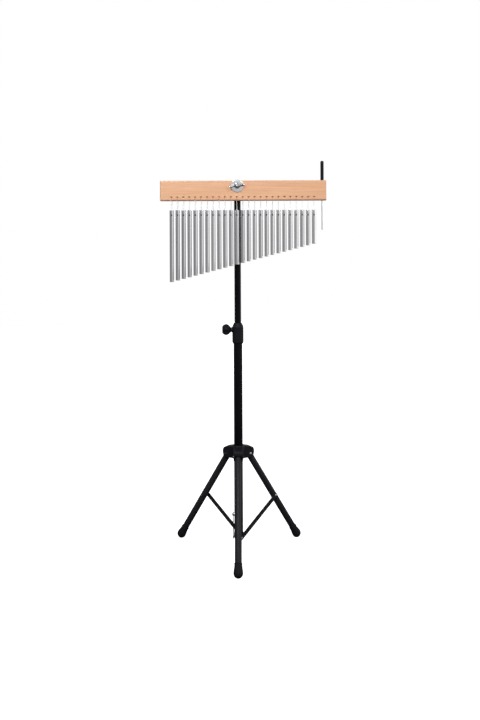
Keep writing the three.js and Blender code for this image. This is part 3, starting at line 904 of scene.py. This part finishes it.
def wing_nut():
    start = -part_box("wing_nut")[1].y
    boss = [(0, 0), (8, 0, 0.6), (7.6, 3, 2), (6.2, 9, 1.2), (0, 9)]
    wing = [
        (4, 0.8, 0.5),
        (9.5, 1.0, 2),
        (16.5, 3.4, 3),
        (21.6, 6.2, 3),
        (22.7, 9.9, 3),
        (20.4, 12.6, 3),
        (15.8, 11.9, 3),
        (10.6, 8.6, 3),
        (4, 7.4, 0.5),
    ]
    outline = softened(in_mm(wing), closed=True)
    at = stud_place() @ moved(0, 0, start) @ turned_about("Z", WING_TURN)

    pitched = moved(0, 0, WING_PITCH_LINE) @ turned_about("X", -WING_PITCH)
    blade = pitched @ moved(0, 0, -WING_PITCH_LINE) @ TO_PLAYER

    def wing_blade(bm):
        slab(bm, lambda inset: outline, [(0, -1.6 * MM), (0, 1.6 * MM)])

    nut = made("wing_nut_casting", lambda bm: revolve(bm, softened(in_mm(boss)), 48), at)
    carved(nut, made("cutter", wing_blade, at @ blade), "UNION")
    carved(nut, made("cutter", wing_blade, at @ turned_about("Z", 180) @ blade), "UNION")
    cast(nut, 0.35 * MM, 6, 0.35)
    carved(nut, rod_cutter(4.15 * MM, -5 * MM, 20 * MM, at), crease=60)
    finished(nut, CHROME, "chrome", "wing_nut", "wing_nut")


# ---------- Mast ----------
def tube_profile(outer, inner, low, high, soft=0.5 * MM):
    corners = ((outer, low), (outer, high), (inner, high), (inner, low))
    return softened([(*corner, soft) for corner in corners], closed=True)


def mast_tube(name, node, wall, body):
    low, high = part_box(node)
    radius = size(node).x / 2
    profile = tube_profile(radius, radius - wall, low.z, high.z)
    tube = made(name, lambda bm: revolve(bm, profile, 72, closed=True))
    finished(tube, MAST_PAINT, "black_paint", body, node)


def height_clamp():
    low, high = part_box("clamp_collar")
    tube = size("lower_tube").x / 2 + 0.3 * MM
    throat = size("upper_tube").x / 2 + 0.3 * MM
    radius = high.x
    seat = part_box("lower_tube")[1].z + 0.3 * MM
    profile = [
        (tube, low.z),
        (14.6 * MM, low.z, 0.5 * MM),
        (radius, low.z + 3.5 * MM, 2 * MM),
        (radius, high.z - 11.5 * MM, 2 * MM),
        (11.6 * MM, high.z, 1.2 * MM),
        (throat, high.z, 0.4 * MM),
        (throat, seat),
        (tube, seat),
    ]
    collar = made("clamp_moulding", lambda bm: revolve(bm, softened(profile, closed=True), 96, closed=True))
    screw_height = middle("clamp_screw").z
    at = moved(0, 0, screw_height) @ TO_LEFT
    boss_end = -low.x
    carved(collar, rod_cutter(7.5 * MM, 13.8 * MM, boss_end, at, 48), "UNION")
    carved(collar, rod_cutter(3.3 * MM, 5 * MM, boss_end + MM, at))
    cast(collar, 0.5 * MM, 5, 0.3)
    finished(collar, PLASTIC, "black_plastic", "mast_base", "clamp_collar")


def lobed(profile, radius, depth, lobes=5):
    """Builds a knob whose widest parts have finger hollows between its lobes."""

    def reach(r, height, angle):
        return r - depth * (r / radius) ** 3 * (1 - math.cos(lobes * angle)) / 2

    return lambda bm: revolve(bm, profile, lobes * 24, reach=reach)


def height_knob():
    low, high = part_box("clamp_knob")
    near, far = -high.x, -low.x
    radius = 16.8 * MM
    bore = 3.3 * MM
    bore_end = -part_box("clamp_screw")[0].x + 0.3 * MM
    profile = [
        (0, bore_end),
        (bore, bore_end),
        (bore, near),
        (7 * MM, near, 0.4 * MM),
        (8.6 * MM, near + 3 * MM, 3 * MM),
        (13.6 * MM, near + 6.4 * MM, 3 * MM),
        (radius, near + 12.5 * MM, 5 * MM),
        (radius, far - 9.5 * MM, 5 * MM),
        (12.6 * MM, far - 2 * MM, 4 * MM),
        (9 * MM, far, 1.5 * MM),
        (8.4 * MM, far - 0.9 * MM, 0.6 * MM),
        (0, far - 0.9 * MM),
    ]
    at = moved(0, 0, middle("clamp_screw").z) @ TO_LEFT
    knob = made("clamp_knob_moulding", lobed(softened(profile), radius, 3.1 * MM), at, crease=50)
    finished(knob, PLASTIC, "black_plastic", "height_knob", "clamp_knob")


# ---------- Tripod ----------
HUB_LOW, HUB_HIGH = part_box("tripod_hub")
BORE = 14.3 * MM
CHEEK = 13.6 * MM  # half a lobe's width
SLOT = 10.7 * MM  # half the width of the space that the leg turns in
HUB_SCREW_HEIGHT = 293 * MM
PIN_BORE = 2.3 * MM
WIDE_PIN_BORE = 4.4 * MM  # in the hub ends of the two rear legs, which the fold needs


def side_view(points, depth):
    """An upright plate from its side view, with points (distance from the mast's axis, height, softness)."""
    outline = softened(in_mm(points), closed=True)
    return lambda bm: slab(bm, lambda inset: outline, [(0, -depth), (0, depth)])


def hub():
    sleeve = [
        (BORE, HUB_LOW.z),
        (18.5 * MM, HUB_LOW.z, 1 * MM),
        (18.5 * MM, HUB_HIGH.z - 6 * MM, 2 * MM),
        (16.2 * MM, HUB_HIGH.z, 1.4 * MM),
        (BORE, HUB_HIGH.z),
    ]
    lobe = [
        (10, 266, 0),
        (38.5, 266, 3),
        (43, 271, 4),
        (45.4, 280, 5),
        (45.2, 288.5, 4),
        (42, 295, 4),
        (37, 297, 4),
        (17, 301, 1),
        (10, 301.5, 0),
    ]
    hollow = [(19, 255, 0), (60, 255, 0), (60, 278, 0), (43.9, 281, 2)]
    hollow += [(43.6, 287.5, 2), (41, 290, 2), (19, 290, 2)]
    body = made("hub_moulding", lambda bm: revolve(bm, softened(sleeve, closed=True), 96, closed=True))
    for side in SIDES:
        carved(body, made("cutter", side_view(lobe, CHEEK), upright_plane(side) @ TO_PLAYER), "UNION")
    screw_line = moved(0, 0, HUB_SCREW_HEIGHT) @ FROM_PLAYER
    carved(body, rod_cutter(7 * MM, 15 * MM, 24 * MM, screw_line, 48), "UNION")
    for side in SIDES:
        carved(body, made("cutter", side_view(hollow, SLOT), upright_plane(side) @ TO_PLAYER))
    carved(body, rod_cutter(BORE, HUB_LOW.z - 9 * MM, HUB_HIGH.z + 9 * MM, segments=96))
    carved(body, rod_cutter(2.8 * MM, 5 * MM, 30 * MM, screw_line))
    cast(body, 0.6 * MM, 6, 0.3)
    for side in SIDES:
        at = at_hub_pivot(side) @ TO_PLAYER
        carved(body, rod_cutter(PIN_BORE, -20 * MM, 20 * MM, at), crease=60)
    finished(body, PLASTIC, "black_plastic", "hub", "tripod_hub")


def hub_knob():
    near, far = 24.3 * MM, 43 * MM
    radius = 11.5 * MM
    profile = [
        (0, 14.6 * MM),
        (2.1 * MM, 14.6 * MM, 0.3 * MM),
        (2.5 * MM, 15.2 * MM),
        (2.5 * MM, near),
        (4.8 * MM, near, 0.4 * MM),
        (5.4 * MM, near + 2.6 * MM, 1 * MM),
        (10.2 * MM, near + 4.8 * MM, 1.5 * MM),
        (radius, near + 8 * MM, 2 * MM),
        (radius, far - 4.5 * MM, 2 * MM),
        (9.6 * MM, far - 0.6 * MM, 1.6 * MM),
        (6.4 * MM, far, 1 * MM),
        (5.6 * MM, far - 0.7 * MM, 0.5 * MM),
        (0, far - 0.7 * MM),
    ]
    at = moved(0, 0, HUB_SCREW_HEIGHT) @ FROM_PLAYER
    knob = made("hub_knob_moulding", lobed(softened(profile), radius, 2.1 * MM), at, crease=50)
    finished(knob, PLASTIC, "black_plastic", "hub_knob", "hub_knob")


LEG_RADIUS = size("leg_front").x / 2
LEG_END = 311 * MM  # from the pivot, inside the foot
SOLE_HEIGHT = 12.2 * MM  # where the leg's line meets the middle of the toe


def leg(side):
    profile = tube_profile(LEG_RADIUS, LEG_RADIUS - 1.2 * MM, -LEG_END, 8 * MM)
    at = along_leg(side)
    tube = made("leg_tube_" + side, lambda bm: revolve(bm, profile, 64, closed=True), at)
    hole = PIN_BORE if side == "front" else WIDE_PIN_BORE
    carved(tube, rod_cutter(hole, -12 * MM, 12 * MM, at @ TO_PLAYER, 24))
    carved(tube, rod_cutter(PIN_BORE, -12 * MM, 12 * MM, leg_pin_place(side), 24))
    finished(tube, LEG_PAINT_PAINTED_LIGHTER, "black_paint", "leg_" + side, "leg_" + side)


def foot(side):
    """A rubber boot on the leg's end, with a beaded rim and a round toe worn flat on the floor."""
    radius = 13 * MM
    bore = LEG_RADIUS + 0.3 * MM
    toe = -(HUB_PIVOT.z - SOLE_HEIGHT) / math.cos(LEG_TILT)
    rim = -287 * MM
    outside = [
        (12.9 * MM, toe + 5 * MM, 3 * MM),
        (11.3 * MM, toe + 14 * MM, 4 * MM),
        (10.7 * MM, toe + 20 * MM, 3 * MM),
        (10.7 * MM, rim - 2.6 * MM, 0.4 * MM),
        (11.2 * MM, rim - 2.2 * MM, 0.5 * MM),
        (11.2 * MM, rim - 0.4 * MM, 0.6 * MM),
        (10.4 * MM, rim, 0.4 * MM),
    ]
    bottom = arc((0, toe), radius, -90, 12, 16)
    bottom[0] = (0, bottom[0][1])
    inside = [(bore, rim, 0.3 * MM), (bore, -LEG_END - 0.3 * MM), (0, -LEG_END - 0.3 * MM)]
    at = along_leg(side)
    to_local = at.inverted()

    def build(bm):
        revolve(bm, bottom + softened([bottom[-1], *outside, *inside])[1:], 64)
        everything = bm.verts[:] + bm.edges[:] + bm.faces[:]
        floor = {"plane_co": to_local.translation, "plane_no": to_local.to_3x3() @ -UP}
        cut = bmesh.ops.bisect_plane(bm, geom=everything, **floor, clear_outer=True)
        rim_edges = [e for e in cut["geom_cut"] if isinstance(e, bmesh.types.BMEdge)]
        bmesh.ops.contextual_create(bm, geom=rim_edges)

    boot = made("foot_boot_" + side, build, at, crease=40)
    finished(boot, RUBBER, "rubber", "leg_" + side, "foot_" + side)


def brace(side):
    strip = capsule(BRACE_LENGTH, 6 * MM)
    at_collar = moved(0, -BRACE_OFFSET, COLLAR_PIN_HEIGHT)
    at = upright_plane(side) @ at_collar @ Matrix.Rotation(-BRACE_ANGLE, 4, "Y") @ TO_PLAYER
    flat = made("brace_strip_" + side, lambda bm: slab(bm, strip, edge_levels(-1 * MM, 1 * MM, 0.4 * MM)), at)
    for end in (0, BRACE_LENGTH):
        carved(flat, rod_cutter(2.2 * MM, -5 * MM, 5 * MM, at @ moved(end, 0, 0), 24))
    flat.modifiers.new("normals", "WEIGHTED_NORMAL").keep_sharp = True
    finished(flat, LEG_PAINT_PAINTED_LIGHTER, "black_paint", "brace_" + side, "brace_" + side)


def rivet(name, node, slot_body, at, tail, head, shoulder=None):
    """A domed rivet along Z. tail is its far end's (height, radius), head the height its head begins at."""
    shank, head_radius = 2 * MM, 3.5 * MM
    low, tail_radius = tail
    profile = []
    if tail_radius > shank:
        profile += [
            (0, low - 1.4 * MM),
            (tail_radius - 0.5 * MM, low - 1.4 * MM, 0.4 * MM),
            (tail_radius, low - 0.6 * MM, 0.4 * MM),
            (tail_radius, low),
            (shank, low),
        ]
    else:
        profile += [(0, low), (shank, low)]
    if shoulder:
        start, end = shoulder
        profile += [(shank, start), (4.6 * MM, start, 0.3 * MM), (4.6 * MM, end, 0.3 * MM), (shank, end)]
    profile += [(shank, head), (head_radius, head, 0.2 * MM)]
    dome = [(a * head_radius, head + 0.35 * MM + b * 1.15 * MM) for a, b in arc((0, 0), 1, 0, 90, 8)]
    dome[-1] = (0, dome[-1][1])
    pin = made(name, lambda bm: revolve(bm, softened(profile) + dome, 32), at, crease=40)
    finished(pin, RIVET, "steel", slot_body, node)


def rivets(side):
    cheek = CHEEK + 0.3 * MM
    at = at_hub_pivot(side) @ TO_PLAYER
    rivet("hub_rivet_" + side, "hub_pin_" + side, "hub", at, (-cheek, 2.8 * MM), cheek)

    tube_side = LEG_RADIUS + 0.3 * MM
    inner, outer = BRACE_OFFSET - 1.3 * MM, BRACE_OFFSET + 1.3 * MM
    tail, at = (-tube_side, 2.8 * MM), leg_pin_place(side)
    rivet("leg_rivet_" + side, "leg_pin_" + side, "leg_" + side, at, tail, outer, (tube_side, inner))

    tail, at = (5.3 * MM, 0), collar_pin_place(side)
    rivet("collar_rivet_" + side, "collar_pin_" + side, "mast_base", at, tail, outer)


def lower_collar():
    low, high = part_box("lower_collar")
    radius = 14.6 * MM
    spigot = size("lower_tube").x / 2 - 1.8 * MM
    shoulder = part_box("lower_tube")[0].z - 0.3 * MM
    profile = [
        (0, low.z),
        (8.4 * MM, low.z, 1.2 * MM),
        (radius, low.z + 11 * MM, 2.5 * MM),
        (radius, shoulder, 0.6 * MM),
        (spigot, shoulder),
        (spigot, high.z, 0.8 * MM),
        (0, high.z),
    ]
    plug = made("lower_collar_moulding", lambda bm: revolve(bm, softened(profile), 96))

    def flats(bm):
        for side in SIDES:
            outline = rounded_rectangle(60 * MM, 20 * MM, MM)
            place = upright_plane(side) @ moved(0, -23.2 * MM, 0)
            placed(bm, place, lambda bm: slab(bm, outline, [(0, low.z - 5 * MM), (0, 78 * MM)]))

    carved(plug, made("cutter", flats))
    cast(plug, 0.45 * MM, 4, 0.35)
    for side in SIDES:
        carved(plug, rod_cutter(PIN_BORE, 5 * MM, 20 * MM, collar_pin_place(side)), crease=60)
    finished(plug, PLASTIC, "black_plastic", "mast_base", "lower_collar")


# ---------- The object ----------
beam_wood()
for bar in BARS:
    chime_bar(bar)
striker()

head_block()
stud()
washer("back_washer_rubber", "back_washer", 4.3 * MM, 0, RUBBER, "rubber", "upper_mast")
washer("front_washer_plate", "front_washer", 4.3 * MM, 0.8 * MM, CHROME, "chrome", "chime_beam")
wing_nut()

mast_tube("upper_tube_steel", "upper_tube", 1.2 * MM, "upper_mast")
mast_tube("lower_tube_steel", "lower_tube", 1.5 * MM, "mast_base")
height_clamp()
height_knob()
lower_collar()
hub()
hub_knob()
for side in SIDES:
    leg(side)
    foot(side)
    brace(side)
    rivets(side)

for node, material in (("slide_bush", PLASTIC), ("clamp_screw", ZINC)):
    hidden = frame["nodes"][node]
    for place in hidden.material_slots:
        place.material = material


# ---------- Stage ----------
FLOOR_REACH = 6.0
ROOM_BRIGHTNESS = 3.5


def camera_only(nodes, links, seen, unseen, output):
    """Joins two shaders: the camera sees the first, while the object is lit by and reflects the second."""
    chooser = nodes.new("ShaderNodeMixShader")
    links.new(nodes.new("ShaderNodeLightPath").outputs["Is Camera Ray"], chooser.inputs[0])
    links.new(unseen, chooser.inputs[1])
    links.new(seen, chooser.inputs[2])
    links.new(chooser.outputs[0], nodes[output].inputs[0])


def stage_floor():
    """A plain white floor with soft contact shadows, which fades into the white background."""
    just_below = moved(0, 0, -0.5 * MM)
    floor = made("floor", lambda bm: revolve(bm, [(0, 0), (FLOOR_REACH, 0)], 96), just_below)
    s = Shader("floor_white", Base_Color=(0.8, 0.8, 0.8, 1), Roughness=0.9, Specular_IOR_Level=0.0)
    s.surface.inputs["Emission Color"].default_value = (1, 1, 1, 1)
    distance = s.node("VectorMath", 1, Vector=s.place)
    s.nodes["Vector Math"].operation = "LENGTH"
    s.feed(s.surface.inputs["Emission Strength"], s.ranged(distance, 0.4, 1.6, 0.8, 1.05))
    dim = s.nodes.new("ShaderNodeEmission")
    glow = s.ranged(distance, 0.9, 2.2, 0.03, 1.0)
    sideways = s.ranged(s.coordinate(0), -4, 4, 0.35, 0.8)
    s.feed(dim.inputs["Strength"], s.maths("MULTIPLY", glow, sideways))
    camera_only(s.nodes, s.links, s.surface.outputs[0], dim.outputs[0], "Material Output")
    floor.data.materials.append(s.material)


def area_light(name, place, target, width, height, power):
    data = bpy.data.lights.new(name, "AREA")
    data.shape = "RECTANGLE"
    data.size = width
    data.size_y = height
    data.energy = power
    obj = bpy.data.objects.new(name, data)
    bpy.context.collection.objects.link(obj)
    obj.location = place
    obj.rotation_mode = "QUATERNION"
    obj.rotation_quaternion = (Vector(target) - Vector(place)).to_track_quat("-Z", "Y")


def world():
    """White behind the object. Reflections show a dim room with a soft band, brighter to the right."""
    bpy.context.scene.world = bpy.data.worlds.new("studio")
    bpy.context.scene.world.use_nodes = True
    nodes = bpy.context.scene.world.node_tree.nodes
    links = bpy.context.scene.world.node_tree.links
    backdrop = nodes["Background"]
    backdrop.inputs["Color"].default_value = (1, 1, 1, 1)
    backdrop.inputs["Strength"].default_value = 1.0

    def ramp(value, *stops):
        node = nodes.new("ShaderNodeValToRGB")
        links.new(value, node.inputs[0])
        while len(node.color_ramp.elements) < len(stops):
            node.color_ramp.elements.new(0.5)
        for element, (position, level) in zip(node.color_ramp.elements, stops):
            element.position = position
            element.color = (level, level, level, 1)
        return node.outputs[0]

    split = nodes.new("ShaderNodeSeparateXYZ")
    links.new(nodes.new("ShaderNodeTexCoord").outputs["Generated"], split.inputs[0])
    spread = nodes.new("ShaderNodeMapRange")
    spread.inputs["From Min"].default_value = -1
    links.new(split.outputs["X"], spread.inputs["Value"])
    across = [(0.0, 0.2), (0.28, 0.26), (0.5, 0.3), (0.72, 0.38), (0.9, 0.64), (1.0, 1.0)]
    up = [(0.0, 0.62), (0.12, 0.66), (0.28, 1.0), (0.45, 1.0), (0.62, 0.15), (0.84, 0.15), (0.94, 0.9)]
    sideways = ramp(spread.outputs[0], *across)
    band = ramp(split.outputs["Z"], *up)
    strength = nodes.new("ShaderNodeMath")
    strength.operation = "MULTIPLY"
    links.new(band, strength.inputs[0])
    links.new(sideways, strength.inputs[1])
    brightest = nodes.new("ShaderNodeMath")
    brightest.operation = "MULTIPLY"
    brightest.inputs[1].default_value = ROOM_BRIGHTNESS
    links.new(strength.outputs[0], brightest.inputs[0])
    room = nodes.new("ShaderNodeBackground")
    links.new(brightest.outputs[0], room.inputs["Strength"])
    camera_only(nodes, links, backdrop.outputs[0], room.outputs[0], "World Output")


stage_floor()
world()
area_light("key", (1.5, -2.4, 2.6), (0, 0, 0.8), 2.6, 2.0, 28)
area_light("fill", (-1.9, -1.9, 2.7), (0, 0, 0.7), 1.2, 1.0, 16)
area_light("top", (-0.45, -1.9, 2.05), (0, 0, 0.3), 0.35, 0.9, 34)

bpy.context.scene.view_settings.view_transform = "Standard"
